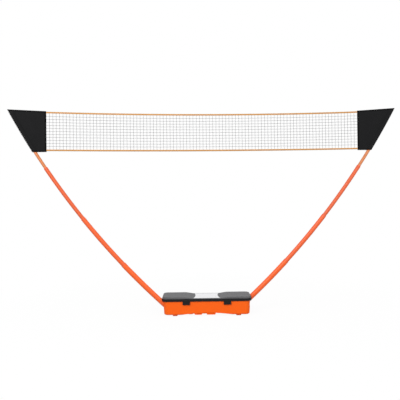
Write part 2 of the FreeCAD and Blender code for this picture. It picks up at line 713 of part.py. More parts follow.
def make_lid():
    # The frame carries the hinges and latches. It is notched round each pole and socket.
    body = new_body("FrameBody")
    outline = new_sketch(body, "XY_Plane", "FrameOutline", frame_bottom)
    draw_rectangle(outline, "0 - " + lid_end, lid_end, "0 - " + lid_side, lid_side)
    block = pad(body, outline, "frame_height", "FramePad")
    tall = value_of("frame_height") - hair
    fillet(body, block, lambda edge: edge.BoundBox.ZLength > tall, "lid_corner_radius", "FrameCorners")
    window = new_sketch(body, "XY_Plane", "FrameWindow", frame_bottom)
    inner_end = lid_end + " - frame_width"
    inner_side = lid_side + " - frame_width"
    draw_rectangle(window, "frame_width - " + lid_end, inner_end, "frame_width - " + lid_side, inner_side)
    window_cut = pocket(body, window, "frame_height", "WindowCut", backwards=True)
    inner = value_of(inner_end) + hair
    fillet(body, window_cut, lambda edge: edge.BoundBox.ZLength > tall and edge.BoundBox.XMax < inner
           and edge.BoundBox.XMin > -inner, "lid_corner_radius - frame_width", "WindowCorners")

    knuckles = []
    tools = []
    for side_name, side in sides:
        middle = "%d * hinge_x" % side
        name = side_name + "Knuckle"
        knuckles.append(box(name + "Arm", middle + " - knuckle_width / 2", middle + " + knuckle_width / 2",
                            hinge_y + " - knuckle_radius", hinge_y + " + knuckle_radius",
                            "hinge_z", "%s + frame_height / 2" % frame_bottom))
        knuckles.append(rod_along_x(name + "Barrel", middle, hinge_y, "hinge_z", "knuckle_radius",
                                    "knuckle_width"))
        tools.append(rod_along_x(name + "Bore", middle, hinge_y, "hinge_z",
                                 "hinge_pin_radius + pin_clearance", "2 * knuckle_width"))
        middle = "%d * latch_x" % side
        name = side_name + "Latch"
        tools.append(box(name + "Room", "%s - %s" % (middle, latch_room), "%s + %s" % (middle, latch_room),
                         "0 - case_depth", latch_y + " + knuckle_radius + side_play",
                         frame_bottom + " - frame_height", "latch_pivot_z + knuckle_radius + latch_swing"))
        tools.append(rod_along_x(name + "PinHole", middle, latch_y, "latch_pivot_z",
                                 "latch_pin_radius + pin_clearance", pin_length))
        for plane in (side, -side):
            tools.append(along_pole("%sNotch%d" % (side_name, plane + 1), side,
                                    "base_tube_diameter + 2 * pole_notch", None,
                                    "0 - socket_depth", "2 * overrun", plane))
    whole = fuse("FrameWhole", body, *knuckles)
    part("lid_frame", cut("LidFrame", whole, fuse("FrameTools", *tools)))

    panel = new_body("PanelBody")
    outline = new_sketch(panel, "XY_Plane", "PanelOutline", frame_top)
    draw_rectangle(outline, "panel_edge - " + lid_end, lid_end + " - panel_edge",
                   "panel_edge - " + lid_side, lid_side + " - panel_edge")
    block = pad(panel, outline, "lobe_height", "PanelPad")
    tall = value_of("lobe_height") - hair
    corners = fillet(panel, block, lambda edge: edge.BoundBox.ZLength > tall,
                     "lid_corner_radius - panel_edge", "PanelCorners")
    top = value_of("%s + lobe_height" % frame_top) - hair
    fillet(panel, corners, lambda edge: edge.BoundBox.ZMin > top, "lobe_edge_radius", "LobeEdge")
    valley = new_sketch(panel, "XZ_Plane", "Valley")
    high = "%s + lobe_height" % frame_top
    floor = "%s + valley_height" % frame_top
    draw_outline(valley, [("0 - valley_half_length - slope_length", high), ("0 - valley_half_length", floor),
                          ("valley_half_length", floor), ("valley_half_length + slope_length", high),
                          ("valley_half_length + slope_length", high + " + lobe_height"),
                          ("0 - valley_half_length - slope_length", high + " + lobe_height")])
    pocket(panel, valley, "2 * case_depth", "ValleyCut", middle=True)
    plate_bottom = floor + " + plate_proud - plate_thickness"
    seat = new_sketch(panel, "XY_Plane", "PlateSeat", plate_bottom)
    draw_plate(seat)
    pocket(panel, seat, "2 * plate_thickness", "SeatCut", backwards=True)
    lobes = []
    for side_name, side in sides:
        near = "%d * (valley_half_length + slope_length)" % side
        far = "%d * (%s)" % (side, inner_end)
        left, right = (near, far) if side > 0 else (far, near)
        lobes.append(box(side_name + "Lobe", left, right, "frame_width - " + lid_side, inner_side,
                         frame_top + " - case_wall", high + " - case_wall"))
    part("lid_panel", cut("LidPanel", panel, fuse("LobeHollows", *lobes)))

    plate = new_body("PlateBody")
    outline = new_sketch(plate, "XY_Plane", "PlateOutline", plate_bottom)
    draw_plate(outline)
    pad(plate, outline, "plate_thickness", "PlatePad")
    part("lid_plate", plate)


def make_latches():
    # Each latch turns on a pin in the lid frame and hangs in front of the case.
    for side_name, side in sides:
        middle = "%d * latch_x" % side
        name = side_name + "_latch"
        barrel = rod_along_x(name + "Barrel", middle, latch_y, "latch_pivot_z", "knuckle_radius",
                             "latch_width")
        front = latch_y + " - knuckle_radius"
        tongue = box(name + "Tongue", middle + " - latch_width / 2", middle + " + latch_width / 2",
                     front, front + " + latch_thickness", frame_bottom + " - latch_drop", "latch_pivot_z")
        bore = rod_along_x(name + "Bore", middle, latch_y, "latch_pivot_z",
                           "latch_pin_radius + pin_clearance", "2 * latch_width")
        part(name, cut(name + "Turned", fuse(name + "Solid", barrel, tongue), bore))
        part(name + "_pin", rod_along_x(name + "Pin", middle, latch_y, "latch_pivot_z",
                                        "latch_pin_radius", pin_length))


def check_and_export():
    for thing in doc.Objects:
        if "Invalid" in thing.State or "Error" in thing.State:
            raise ValueError(thing.Name + " failed")
    for thing in parts:
        if thing.Shape.isNull() or not thing.Shape.isValid():
            raise ValueError(thing.Label + " has no valid shape")
    os.makedirs("parts", exist_ok=True)
    for thing in parts:
        thing.Shape.exportStep("parts/%s.step" % thing.Label)
        print("%-24s %10.0f mm3, solids %d" % (thing.Label, thing.Shape.Volume, len(thing.Shape.Solids)))
    print(len(parts), "sub-parts")


def main():
    make_poles()
    make_panels()
    make_net()
    arched_outside = make_case()
    make_feet()
    make_grip(arched_outside)
    make_hinges()
    make_lid()
    make_latches()
    doc.recompute()
    check_and_export()


main()
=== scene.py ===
import math
import random

import bmesh
import bpy
from mathutils import Matrix, Vector, noise


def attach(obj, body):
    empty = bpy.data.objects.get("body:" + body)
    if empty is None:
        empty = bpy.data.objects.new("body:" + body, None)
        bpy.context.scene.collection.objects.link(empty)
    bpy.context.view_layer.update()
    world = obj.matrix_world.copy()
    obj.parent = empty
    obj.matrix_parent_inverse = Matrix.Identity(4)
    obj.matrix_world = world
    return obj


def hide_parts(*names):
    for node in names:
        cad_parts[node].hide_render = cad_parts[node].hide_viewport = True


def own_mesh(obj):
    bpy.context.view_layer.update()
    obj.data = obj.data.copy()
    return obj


# A net on two telescopic poles that stand in their own carry case. The rigid pieces come from the CAD
# frame, and the net, its tapes and the two fabric end panels are made here, in metres.

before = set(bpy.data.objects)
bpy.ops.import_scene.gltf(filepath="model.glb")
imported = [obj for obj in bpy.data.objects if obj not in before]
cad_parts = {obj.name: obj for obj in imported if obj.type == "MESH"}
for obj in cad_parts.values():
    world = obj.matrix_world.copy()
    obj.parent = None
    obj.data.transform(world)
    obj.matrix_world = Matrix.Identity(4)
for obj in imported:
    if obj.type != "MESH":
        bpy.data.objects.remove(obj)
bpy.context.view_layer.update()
draw = random.Random(11)  # every small irregularity comes from this one seed


def hexColour(code):
    parts = [int(code[place:place + 2], 16) / 255 for place in (0, 2, 4)]
    linear = [part / 12.92 if part <= 0.04045 else ((part + 0.055) / 1.055) ** 2.4 for part in parts]
    return linear + [1]


def addNode(tree, kind, sockets=None, **settings):
    # settings are the node's own, sockets hold a value or another node's output
    node = tree.nodes.new("ShaderNode" + kind)
    for name, value in settings.items():
        setattr(node, name, value)
    for name, value in (sockets or {}).items():
        if isinstance(value, bpy.types.NodeSocket):
            tree.links.new(value, node.inputs[name])
        else:
            node.inputs[name].default_value = value
    return node


def startMaterial(name):
    material = bpy.data.materials.new(name)
    material.use_nodes = True
    material.node_tree.nodes.clear()
    return material, material.node_tree


print("stage: materials")


def mouldedPlastic(name, colour, mottle, roughness, grain, depth, specular=0.4):
    # Injection-moulded plastic: even colour, a soft sheen broken by the mould's fine grain.
    material, tree = startMaterial(name)
    place = addNode(tree, "TexCoord").outputs["Object"]
    cloud = addNode(tree, "TexNoise", {"Vector": place, "Scale": 9, "Detail": 3})
    tint = addNode(tree, "Mix", {0: cloud.outputs[0], 6: hexColour(colour), 7: hexColour(mottle)},
                   data_type="RGBA")
    fine = addNode(tree, "TexNoise", {"Vector": place, "Scale": 1 / grain, "Detail": 2,
                                      "Roughness": 0.6})
    shine = addNode(tree, "MapRange", {0: fine.outputs[0], 1: 0.3, 2: 0.7, 3: roughness - 0.06,
                                       4: roughness + 0.08})
    bump = addNode(tree, "Bump", {"Height": fine.outputs[0], "Strength": 0.35, "Distance": depth})
    skin = addNode(tree, "BsdfPrincipled", {
        "Base Color": tint.outputs[2], "Roughness": shine.outputs[0], "Normal": bump.outputs[0],
        "IOR": 1.49, "Specular IOR Level": specular})
    addNode(tree, "OutputMaterial", {"Surface": skin.outputs[0]})
    return material


def powderCoat(name, colour, shade):
    # Powder coat baked on steel tube: satin, with a faint orange peel a few millimetres wide.
    material, tree = startMaterial(name)
    place = addNode(tree, "TexCoord").outputs["Object"]
    cloud = addNode(tree, "TexNoise", {"Vector": place, "Scale": 6, "Detail": 4})
    tint = addNode(tree, "Mix", {0: cloud.outputs[0], 6: hexColour(colour), 7: hexColour(shade)},
                   data_type="RGBA")
    peel = addNode(tree, "TexNoise", {"Vector": place, "Scale": 420, "Detail": 1})  # peel about 2.4 mm
    bump = addNode(tree, "Bump", {"Height": peel.outputs[0], "Strength": 0.25, "Distance": 0.0002})
    coat = addNode(tree, "BsdfPrincipled", {
        "Base Color": tint.outputs[2], "Roughness": 0.4, "Normal": bump.outputs[0], "IOR": 1.5,
        "Specular IOR Level": 0.35})
    addNode(tree, "OutputMaterial", {"Surface": coat.outputs[0]})
    return material


def plainMetal(name, colour, roughness, grain):
    # Drawn or rolled metal: fine lines along X from the way it was brushed.
    material, tree = startMaterial(name)
    place = addNode(tree, "TexCoord").outputs["Object"]
    lines = addNode(tree, "Mapping", {"Vector": place, "Scale": (6, 1 / grain, 1 / grain)})
    streak = addNode(tree, "TexNoise", {"Vector": lines.outputs[0], "Scale": 1, "Detail": 3})
    shine = addNode(tree, "MapRange", {0: streak.outputs[0], 1: 0.3, 2: 0.7, 3: roughness - 0.08,
                                       4: roughness + 0.08})
    bump = addNode(tree, "Bump", {"Height": streak.outputs[0], "Strength": 0.12, "Distance": 0.0001})
    metal = addNode(tree, "BsdfPrincipled", {
        "Base Color": hexColour(colour), "Metallic": 1, "Roughness": shine.outputs[0],
        "Normal": bump.outputs[0]})
    addNode(tree, "OutputMaterial", {"Surface": metal.outputs[0]})
    return material


def pultrudedFibre(name, colour, shade):
    # Glass fibre rod: resin gloss over fibres that run lengthwise, so it streaks along its length.
    material, tree = startMaterial(name)
    place = addNode(tree, "TexCoord").outputs["Object"]
    parts = addNode(tree, "SeparateXYZ", {0: place})
    # across the lean of the tip, where the tip rises about 1.8 for each 1 that it leans out
    lean = addNode(tree, "Math", {0: parts.outputs[0], 1: 1.0}, operation="ABSOLUTE")
    across = addNode(tree, "Math", {0: parts.outputs[2], 1: -0.53, 2: lean.outputs[0]},
                     operation="MULTIPLY_ADD")
    fibres = addNode(tree, "CombineXYZ", {0: across.outputs[0], 1: parts.outputs[1], 2: 0.0})
    streak = addNode(tree, "TexNoise", {"Vector": fibres.outputs[0], "Scale": 650, "Detail": 2})
    tint = addNode(tree, "Mix", {0: streak.outputs[0], 6: hexColour(colour), 7: hexColour(shade)},
                   data_type="RGBA")
    resin = addNode(tree, "BsdfPrincipled", {
        "Base Color": tint.outputs[2], "Roughness": 0.34, "IOR": 1.53, "Specular IOR Level": 0.4})
    addNode(tree, "OutputMaterial", {"Surface": resin.outputs[0]})
    return material


def wovenCloth(name, colour, shade, thread, roughness, sheen):
    # Plain-woven polyester: two sets of threads, drawn on the piece's own UV map in metres.
    material, tree = startMaterial(name)
    cloth = addNode(tree, "TexCoord").outputs["UV"]
    pitch = math.pi / 10 / thread  # a wave texture's scale for one band every thread spacing
    warp = addNode(tree, "TexWave", {"Vector": cloth, "Scale": pitch}, bands_direction="X")
    weft = addNode(tree, "TexWave", {"Vector": cloth, "Scale": pitch}, bands_direction="Y")
    weave = addNode(tree, "Math", {0: warp.outputs[1], 1: weft.outputs[1]}, operation="MAXIMUM")
    cloud = addNode(tree, "TexNoise", {"Vector": cloth, "Scale": 14, "Detail": 5})
    worn = addNode(tree, "Math", {0: weave.outputs[0], 1: cloud.outputs[0]}, operation="MULTIPLY")
    tint = addNode(tree, "Mix", {0: worn.outputs[0], 6: hexColour(shade), 7: hexColour(colour)},
                   data_type="RGBA")
    bump = addNode(tree, "Bump", {"Height": weave.outputs[0], "Strength": 0.5, "Distance": thread / 5})
    weaveSkin = addNode(tree, "BsdfPrincipled", {
        "Base Color": tint.outputs[2], "Roughness": roughness, "Normal": bump.outputs[0],
        "Specular IOR Level": 0.1, "Sheen Weight": sheen, "Sheen Roughness": 0.4})
    addNode(tree, "OutputMaterial", {"Surface": weaveSkin.outputs[0]})
    return material


def twistedThread(name, colour, shade, roughness=0.75):
    # Spun polyester yarn: matt, and a little uneven in colour from one stretch to the next.
    material, tree = startMaterial(name)
    place = addNode(tree, "TexCoord").outputs["Object"]
    cloud = addNode(tree, "TexNoise", {"Vector": place, "Scale": 160, "Detail": 2})
    tint = addNode(tree, "Mix", {0: cloud.outputs[0], 6: hexColour(colour), 7: hexColour(shade)},
                   data_type="RGBA")
    yarn = addNode(tree, "BsdfPrincipled", {
        "Base Color": tint.outputs[2], "Roughness": roughness, "Specular IOR Level": 0.2})
    addNode(tree, "OutputMaterial", {"Surface": yarn.outputs[0]})
    return material


orangePolypropylene = mouldedPlastic("orangePolypropylene", "FF6A13", "FA610E", 0.5, 0.0009, 0.00015,
                                     specular=0.2)
blackPolypropylene = mouldedPlastic("blackPolypropylene", "131212", "0E0D0D", 0.5, 0.0009, 0.00015,
                                    specular=0.2)
greyPolypropylene = mouldedPlastic("greyPolypropylene", "5C5C5E", "525254", 0.52, 0.0012, 0.0002,
                                   specular=0.3)
orangeNylon = mouldedPlastic("orangeNylon", "E8623A", "DE5A34", 0.42, 0.0006, 0.0001)
blackNylon = mouldedPlastic("blackNylon", "1E1E1F", "181819", 0.45, 0.0006, 0.0001)
# The pole tubes are one powder coat. The lower and upper sections get duller orange than the base tube
# as painted shade, darker higher up the poles where less light reaches.
baseTubeCoat = powderCoat("baseTubeCoat", "F8672A", "F26124")
lowerTubeShadedCoat = powderCoat("lowerTubeShadedCoat", "ED6532", "E65E2C")
upperTubeShadedCoat = powderCoat("upperTubeShadedCoat", "E16336", "DA5C30")
anodisedPlate = plainMetal("anodisedPlate", "E8E8EA", 0.42, 0.0008)
zincPlatedSteel = plainMetal("zincPlatedSteel", "C4C6C8", 0.34, 0.0006)
tanGlassFibre = pultrudedFibre("tanGlassFibre", "D48149", "C87340")
blackPolyester = wovenCloth("blackPolyester", "1E1E1F", "151516", 0.0016, 0.85, 0.02)
blackWebbing = wovenCloth("blackWebbing", "0C0C0D", "080808", 0.0014, 0.85, 0)
orangeWebbing = wovenCloth("orangeWebbing", "D0A06A", "BE8A52", 0.0018, 0.85, 0.02)
netYarn = twistedThread("netYarn", "38383A", "464648")
paleThread = twistedThread("paleThread", "D9D9D6", "C4C4C2")
darkThread = twistedThread("darkThread", "151516", "1D1D1E")
orangeThread = twistedThread("orangeThread", "D98A48", "C87B3C")

nodeFinish = {
    orangePolypropylene: ["case_base", "carry_grip", "left_socket", "right_socket", "left_spare_socket",
                          "right_spare_socket", "front_left_foot", "front_right_foot", "rear_left_foot",
                          "rear_right_foot"],
    blackPolypropylene: ["lid_frame", "left_latch", "right_latch", "left_hinge_bracket",
                         "right_hinge_bracket"],
    greyPolypropylene: ["lid_panel"],
    anodisedPlate: ["lid_plate"],
    zincPlatedSteel: ["grip_screws", "left_hinge_pin", "right_hinge_pin", "left_latch_pin",
                      "right_latch_pin"],
    baseTubeCoat: ["left_base_tube", "right_base_tube"],
    lowerTubeShadedCoat: ["left_lower_tube", "right_lower_tube"],
    upperTubeShadedCoat: ["left_upper_tube", "right_upper_tube"],
    orangeNylon: ["left_base_mouth_ring", "right_base_mouth_ring", "left_lower_mouth_ring",
                  "right_lower_mouth_ring", "left_upper_mouth_ring", "right_upper_mouth_ring"],
    blackNylon: ["left_heel_plug", "right_heel_plug", "left_lower_tail_bush", "right_lower_tail_bush",
                 "left_upper_tail_bush", "right_upper_tail_bush", "left_tip_tail_bush",
                 "right_tip_tail_bush", "left_tip_cap", "right_tip_cap"],
    tanGlassFibre: ["left_tip", "right_tip"],
}
for finish, names in nodeFinish.items():
    for name in names:
        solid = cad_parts[name]
        solid.data.materials.clear()
        solid.data.materials.append(finish)


def mappedGrid(columns, rows, place, size):
    # A flat grid whose points are carried to their places; its UV map is in metres.
    bm = bmesh.new()
    bmesh.ops.create_grid(bm, x_segments=columns, y_segments=rows, size=0.5)
    cloth = bm.loops.layers.uv.new("cloth")
    for face in bm.faces:
        for loop in face.loops:
            loop[cloth].uv = ((loop.vert.co.x + 0.5) * size[0], (loop.vert.co.y + 0.5) * size[1])
    for vert in bm.verts:
        vert.co = place(vert.co.x + 0.5, vert.co.y + 0.5)
    return bm


def addPiece(name, bm, body, material, stands=(), wall=0, wallSide=-1):
    mesh = bpy.data.meshes.new(name)
    bm.to_mesh(mesh)
    bm.free()
    mesh.materials.append(material)
    for face in mesh.polygons:
        face.use_smooth = True
    piece = bpy.data.objects.new(name, mesh)
    bpy.context.scene.collection.objects.link(piece)
    if wall:
        thicken = piece.modifiers.new("wall", "SOLIDIFY")
        thicken.thickness = wall
        thicken.offset = wallSide
    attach(piece, body)
    if stands:
        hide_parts(*stands)
    return piece


def addStitches(bm, path, length, width, pitch, count):
    # Lock stitches: short thread lumps set end to end along a path that gives point and normal.
    for number in range(count):
        at = (number + 0.5) * pitch
        here, out = path(at)
        ahead, out = path(at + pitch / 4)
        way = (ahead - here).normalized()
        side = out.cross(way)
        turn = Matrix((way, side, out)).transposed().to_4x4()
        shape = Matrix.Diagonal((length / 2, width / 2, width / 3, 1))
        bmesh.ops.create_icosphere(bm, subdivisions=1, radius=1,
                                   matrix=Matrix.Translation(here) @ turn @ shape)


print("stage: net")
# Sizes in metres. The net lies in one upright plane from the left pole's plane to the right one's.
netSize = {"reach": 1.211, "offset": 0.058, "topEnd": 1.561, "topSag": 0.020, "lowEnd": 1.273,
           "lowSag": 0.009, "tape": 0.012, "columns": 95, "rows": 12, "cord": 0.0018, "knot": 0.0018,
           "slack": 0.0007, "bow": 0.0006, "yarnSides": 6, "knotSpread": (0.9, 1.15),
           "knotTurn": (0.5, 1.1), "knotShape": (1.25, 0.8, 0.9, 1), "intoTape": 0.0015,
           "intoPanel": 0.007, "steps": 2, "inLine": 0.08}


def netPlace(x, z):
    # the last stretch lies in the panel's own plane, so that it slides between its layers
    y = max(-1, min(1, x / (netSize["reach"] - netSize["inLine"]))) * netSize["offset"]
    return Vector((x, y, z))


def sagging(x, end, sag):
    share = min(1, abs(x) / netSize["reach"])
    return end - sag * (1 - share * share)


def makeNet():
    columns, rows, steps = netSize["columns"], netSize["rows"], netSize["steps"]
    pitch = 2 * netSize["reach"] / columns
    knots = {}
    for column in range(columns + 1):
        for row in range(rows + 1):
            x = -netSize["reach"] + column * pitch
            edge = row in (0, rows) or column in (0, columns)
            loose = 0 if edge else netSize["slack"]
            low = sagging(x, netSize["lowEnd"], netSize["lowSag"]) + netSize["tape"] / 2
            high = sagging(x, netSize["topEnd"], netSize["topSag"]) - netSize["tape"] / 2
            point = netPlace(x, low + (high - low) * row / rows)
            knots[column, row] = point + Vector([draw.uniform(-loose, loose) for axis in range(3)])

    def template(cells):
        # one straight cord along Z, one ring of points for each step
        bm = bmesh.new()
        bmesh.ops.create_circle(bm, segments=netSize["yarnSides"], radius=netSize["cord"] / 2)
        edges = bm.edges[:]
        for step in range(cells * steps):
            grown = bmesh.ops.extrude_edge_only(bm, edges=edges)["geom"]
            points = [part for part in grown if isinstance(part, bmesh.types.BMVert)]
            bmesh.ops.translate(bm, verts=points, vec=(0, 0, 1))
            edges = [part for part in grown if isinstance(part, bmesh.types.BMEdge)
                     and all(abs(vert.co.z - step - 1) < 0.1 for vert in part.verts)]
        mesh = bpy.data.meshes.new("cordTemplate")
        bm.to_mesh(mesh)
        bm.free()
        return mesh

    def lay(bm, mesh, line, upright):
        # carries a copy of the straight cord onto the line of points, bowed a little between knots
        start = len(bm.verts)
        bm.from_mesh(mesh)
        bm.verts.ensure_lookup_table()
        bows = [draw.uniform(-netSize["bow"], netSize["bow"]) for cell in line]
        for vert in bm.verts[start:]:
            cell, part = divmod(round(vert.co.z), steps)
            if cell == len(line) - 1:
                cell, part = cell - 1, steps
            middle = line[cell].lerp(line[cell + 1], part / steps)
            bow = bows[cell] * math.sin(math.pi * part / steps)
            if upright:
                vert.co = middle + Vector((vert.co.x + bow, vert.co.y, 0))
            else:
                vert.co = middle + Vector((0, vert.co.y, vert.co.x + bow))

    bm = bmesh.new()
    tall = template(rows)
    for column in range(1, columns):
        line = [knots[column, row] for row in range(rows + 1)]
        line[0] = line[0] - Vector((0, 0, netSize["intoTape"]))
        line[-1] = line[-1] + Vector((0, 0, netSize["intoTape"]))
        lay(bm, tall, line, True)
    wide = template(columns)
    for row in range(1, rows):
        line = [knots[column, row] for column in range(columns + 1)]
        line[0] = line[0] - Vector((netSize["intoPanel"], 0, 0))
        line[-1] = line[-1] + Vector((netSize["intoPanel"], 0, 0))
        lay(bm, wide, line, False)
    openEnds = [edge for edge in bm.edges if edge.is_boundary]
    bmesh.ops.holes_fill(bm, edges=openEnds, sides=netSize["yarnSides"])
    bmesh.ops.recalc_face_normals(bm, faces=bm.faces)
    cords = addPiece("netCords", bm, "net", netYarn, stands=["net_mesh"])

    bm = bmesh.new()
    for (column, row), point in knots.items():
        if 0 < column < columns and 0 < row < rows:
            size = netSize["knot"] * draw.uniform(*netSize["knotSpread"])
            turn = Matrix.Rotation(draw.uniform(*netSize["knotTurn"]), 4, "Y")
            shape = Matrix.Translation(point) @ turn @ Matrix.Diagonal(netSize["knotShape"])
            bmesh.ops.create_icosphere(bm, subdivisions=1, radius=size, matrix=shape)
    knotPiece = addPiece("netKnots", bm, "net", netYarn)
    for piece in (cords, knotPiece):
        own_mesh(piece)


makeNet()

print("stage: tapes")
tapeSize = {"intoPanel": 0.008, "leg": 0.0108, "half": 0.0008, "cloth": 0.0008, "stations": 190,
            "across": 12, "pucker": 0.00025, "puckerWaves": 350, "puckerStart": 0.1,
            "stitchIn": 0.0022, "stitch": 0.0034, "thread": 0.0009, "pitch": 0.0052,
            "stitchLift": 0.0002}


def makeTape(name, solid, end, sag, fold):
    # Webbing folded over the net's edge cord and sewn through near its free edges.
    reach = netSize["reach"] + tapeSize["intoPanel"]
    leg, half = tapeSize["leg"], tapeSize["half"]
    girth = 2 * leg + math.pi * half

    def place(u, v):
        x = reach * (2 * u - 1)
        at = v * girth
        if at < leg:  # front leg for the upper tape, back leg for the lower one
            y, z = -half, at - leg / 2
        elif at > leg + math.pi * half:
            y, z = half, leg / 2 - (at - leg - math.pi * half)
        else:
            turn = (at - leg) / half
            y, z = -half * math.cos(turn), leg / 2 + half * math.sin(turn)
        free = max(0, -z / leg + tapeSize["puckerStart"])
        y += math.copysign(free * tapeSize["pucker"] * (1 + math.sin(x * tapeSize["puckerWaves"])), y)
        middle = netPlace(x, sagging(x, end, sag))
        return middle + Vector((0, y * fold, z * fold))

    bm = mappedGrid(tapeSize["stations"], tapeSize["across"], place, (2 * reach, girth))
    tape = addPiece(name, bm, "net", orangeWebbing, stands=[solid],
                    wall=tapeSize["cloth"], wallSide=0)

    bm = bmesh.new()
    for face in (-1, 1):
        def path(at):
            x = -netSize["reach"] + at
            z = sagging(x, end, sag) - fold * (leg / 2 - tapeSize["stitchIn"])
            out = Vector((0, face, 0))
            proud = half + tapeSize["cloth"] / 2 + tapeSize["stitchLift"]
            return netPlace(x, z) + out * proud, out
        addStitches(bm, path, tapeSize["stitch"], tapeSize["thread"], tapeSize["pitch"],
                    int(2 * netSize["reach"] / tapeSize["pitch"]))
    stitches = addPiece(name + "Stitches", bm, "net", orangeThread)
    for piece in (tape, stitches):
        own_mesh(piece)


makeTape("topTape", "top_tape", netSize["topEnd"], netSize["topSag"], fold=1)
makeTape("bottomTape", "bottom_tape", netSize["lowEnd"], netSize["lowSag"], fold=-1)

print("stage: end panels")
# The right panel is made in place; the left one is the same turned half round about Z.
panelSize = {"bend": 5.65, "lean": 47.45, "mouthHeight": 0.0875, "caseHalf": 0.325,
             "offset": netSize["offset"], "inner": netSize["reach"], "bottom": 1.260, "top": 1.570,
             "rise": 0.016, "flat": 0.0015, "sleeve": 0.0147, "sleeveHalf": 0.0195,
             "flange": 0.0175, "closing": 0.024, "pressed": 0.0006, "cloth": 0.0006,
             "turning": 0.01, "hem": 0.0095, "hemCloth": 0.03, "hemWall": 0.0005,
             "hemLift": 0.0007, "hemRound": 0.0008, "tuck": 0.0003, "sleeveStart": 0.45,
             "calmStart": 0.2, "calmEnd": 0.6, "seamAcross": 0.94, "ripple": 0.0014,
             "broadWaves": (9, 5, 7, 4), "fineWaves": (30, 12), "fineShare": 0.5,
             "columns": 64, "rows": 44, "topHemRows": 16, "lowHemRows": 20}
bindingSize = {"start": -0.0004, "width": 0.0124, "flatWidth": 0.012, "lift": 0.0001,
               "bulge": 0.0009, "round": 0.35, "columns": 10, "rows": 40, "cloth": 0.0009}
seamSize = {"stitch": 0.0056, "thread": 0.0020, "pitch": 0.0075, "lift": 0.0002}
leanStart = math.radians(panelSize["lean"])
centreX = panelSize["bend"] * math.cos(leanStart) - panelSize["caseHalf"]
centreZ = panelSize["mouthHeight"] + panelSize["bend"] * math.sin(leanStart)


def poleAt(z):
    # x of the pole's axis at a height, and the cosine of its lean there
    sine = (centreZ - z) / panelSize["bend"]
    cosine = math.sqrt(1 - sine * sine)
    return panelSize["bend"] * cosine - centreX, cosine


tipX = poleAt(panelSize["top"])[0]


def panelPoint(across, up, face, lift=0.0, drop=0.0):
    # across runs 0 to 1 from the net to the outer seam
    # up runs 0 to 1 from the lower to the upper edge; drop moves down from there in metres
    inner, sleeveStart = panelSize["inner"], panelSize["sleeveStart"]
    x = inner
    for attempt in range(3):  # x and the height depend on each other, and three rounds settle both
        rise = panelSize["rise"] * (x - inner) / (tipX - inner)
        z = panelSize["bottom"] + up * (panelSize["top"] + rise - panelSize["bottom"]) - drop
        axis, cosine = poleAt(z)
        start = axis - panelSize["sleeveHalf"] / cosine
        if across < sleeveStart:
            x = inner + (start - inner) * across / sleeveStart
        else:
            share = (across - sleeveStart) / (1 - sleeveStart)
            x = start + (panelSize["sleeveHalf"] + panelSize["flange"]) / cosine * share
    off = (x - axis) * cosine / panelSize["sleeveHalf"]
    left = panelSize["top"] + rise - z
    closing = min(1, max(0, left / panelSize["closing"]))
    closing = closing * closing * (3 - 2 * closing)
    swell = max(0, 1 - off * off) * closing
    half = panelSize["flat"] + (panelSize["sleeve"] - panelSize["flat"]) * swell
    if off > 1:
        half = panelSize["flat"] - panelSize["pressed"]
    # the ripple dies out at every edge of the flat part, and near the net, which slides in there
    if across < sleeveStart:
        inside = max(0, (across - panelSize["calmStart"]) / (sleeveStart - panelSize["calmStart"]))
    else:
        inside = max(0, (panelSize["calmEnd"] - across) / (panelSize["calmEnd"] - sleeveStart))
    calm = math.sin(math.pi * min(1, inside)) * math.sin(math.pi * min(1, max(0, up)))
    # broad folds slant across the cloth, and finer ones run up it
    acrossX, acrossZ, upZ, upX = panelSize["broadWaves"]
    fineX, fineZ = panelSize["fineWaves"]
    broad = noise.noise(Vector((x * acrossX + z * acrossZ, z * upZ - x * upX, 0.4)))
    fine = noise.noise(Vector((x * fineX, z * fineZ, 2)))
    fold = broad + panelSize["fineShare"] * fine
    y = panelSize["offset"] + panelSize["ripple"] * calm * fold - face * (half + lift)
    return Vector((x, y, z))


def turned(bm, side):
    if side < 0:
        bmesh.ops.rotate(bm, verts=bm.verts, cent=(0, 0, 0), matrix=Matrix.Rotation(math.pi, 3, "Z"))
    return bm


def gather(whole, bm, flip):
    # adds one made surface to a larger one
    if flip:
        bmesh.ops.reverse_faces(bm, faces=bm.faces)
    mesh = bpy.data.meshes.new("surface")
    bm.to_mesh(mesh)
    bm.free()
    whole.from_mesh(mesh)


def makeHems(sideName, side, body, topWidth):
    # The upper hem holds both layers together. Each layer has a lower hem of its own.
    hem, lift, columns = panelSize["hem"], panelSize["hemLift"], panelSize["columns"]
    under = -panelSize["cloth"] - panelSize["tuck"]
    crown = panelSize["flat"] + lift
    size = (topWidth, panelSize["hemCloth"])

    def topHem(u, v):
        # up the front, over the upper edge and down the back
        front, back = 0.4, 0.6
        if v < front:
            return panelPoint(u, 1, 1, lift, hem * (front - v) / front)
        if v > back:
            return panelPoint(u, 1, -1, lift, hem * (v - back) / (1 - back))
        turn = math.pi * (v - front) / (back - front)
        point = panelPoint(u, 1, 1, lift)
        middle = panelPoint(u, 1, 0)
        half = middle.y - point.y
        return Vector((point.x, middle.y - half * math.cos(turn), point.z + crown * math.sin(turn)))

    hems = bmesh.new()
    gather(hems, mappedGrid(columns, panelSize["topHemRows"], topHem, size), False)
    for face in (1, -1):
        def lowHem(u, v):
            # up the outside of one layer, round its lower edge from the inside
            inside, outside = 0.3, 0.4
            if v < inside:
                return panelPoint(u, 0, face, under, -hem * (1 - outside) * (inside - v) / inside)
            if v > outside:
                return panelPoint(u, 0, face, lift, -hem * (v - outside) / (1 - outside))
            turn = math.pi * (v - inside) / (outside - inside)
            inner = panelPoint(u, 0, face, under)
            outer = panelPoint(u, 0, face, lift)
            point = (inner + outer) / 2 + (inner - outer) / 2 * math.cos(turn)
            return point - Vector((0, 0, panelSize["hemRound"] * math.sin(turn)))
        gather(hems, mappedGrid(columns, panelSize["lowHemRows"], lowHem, size), face < 0)
    return addPiece(sideName + "PanelHems", turned(hems, side), body, blackWebbing,
                    wall=panelSize["hemWall"])


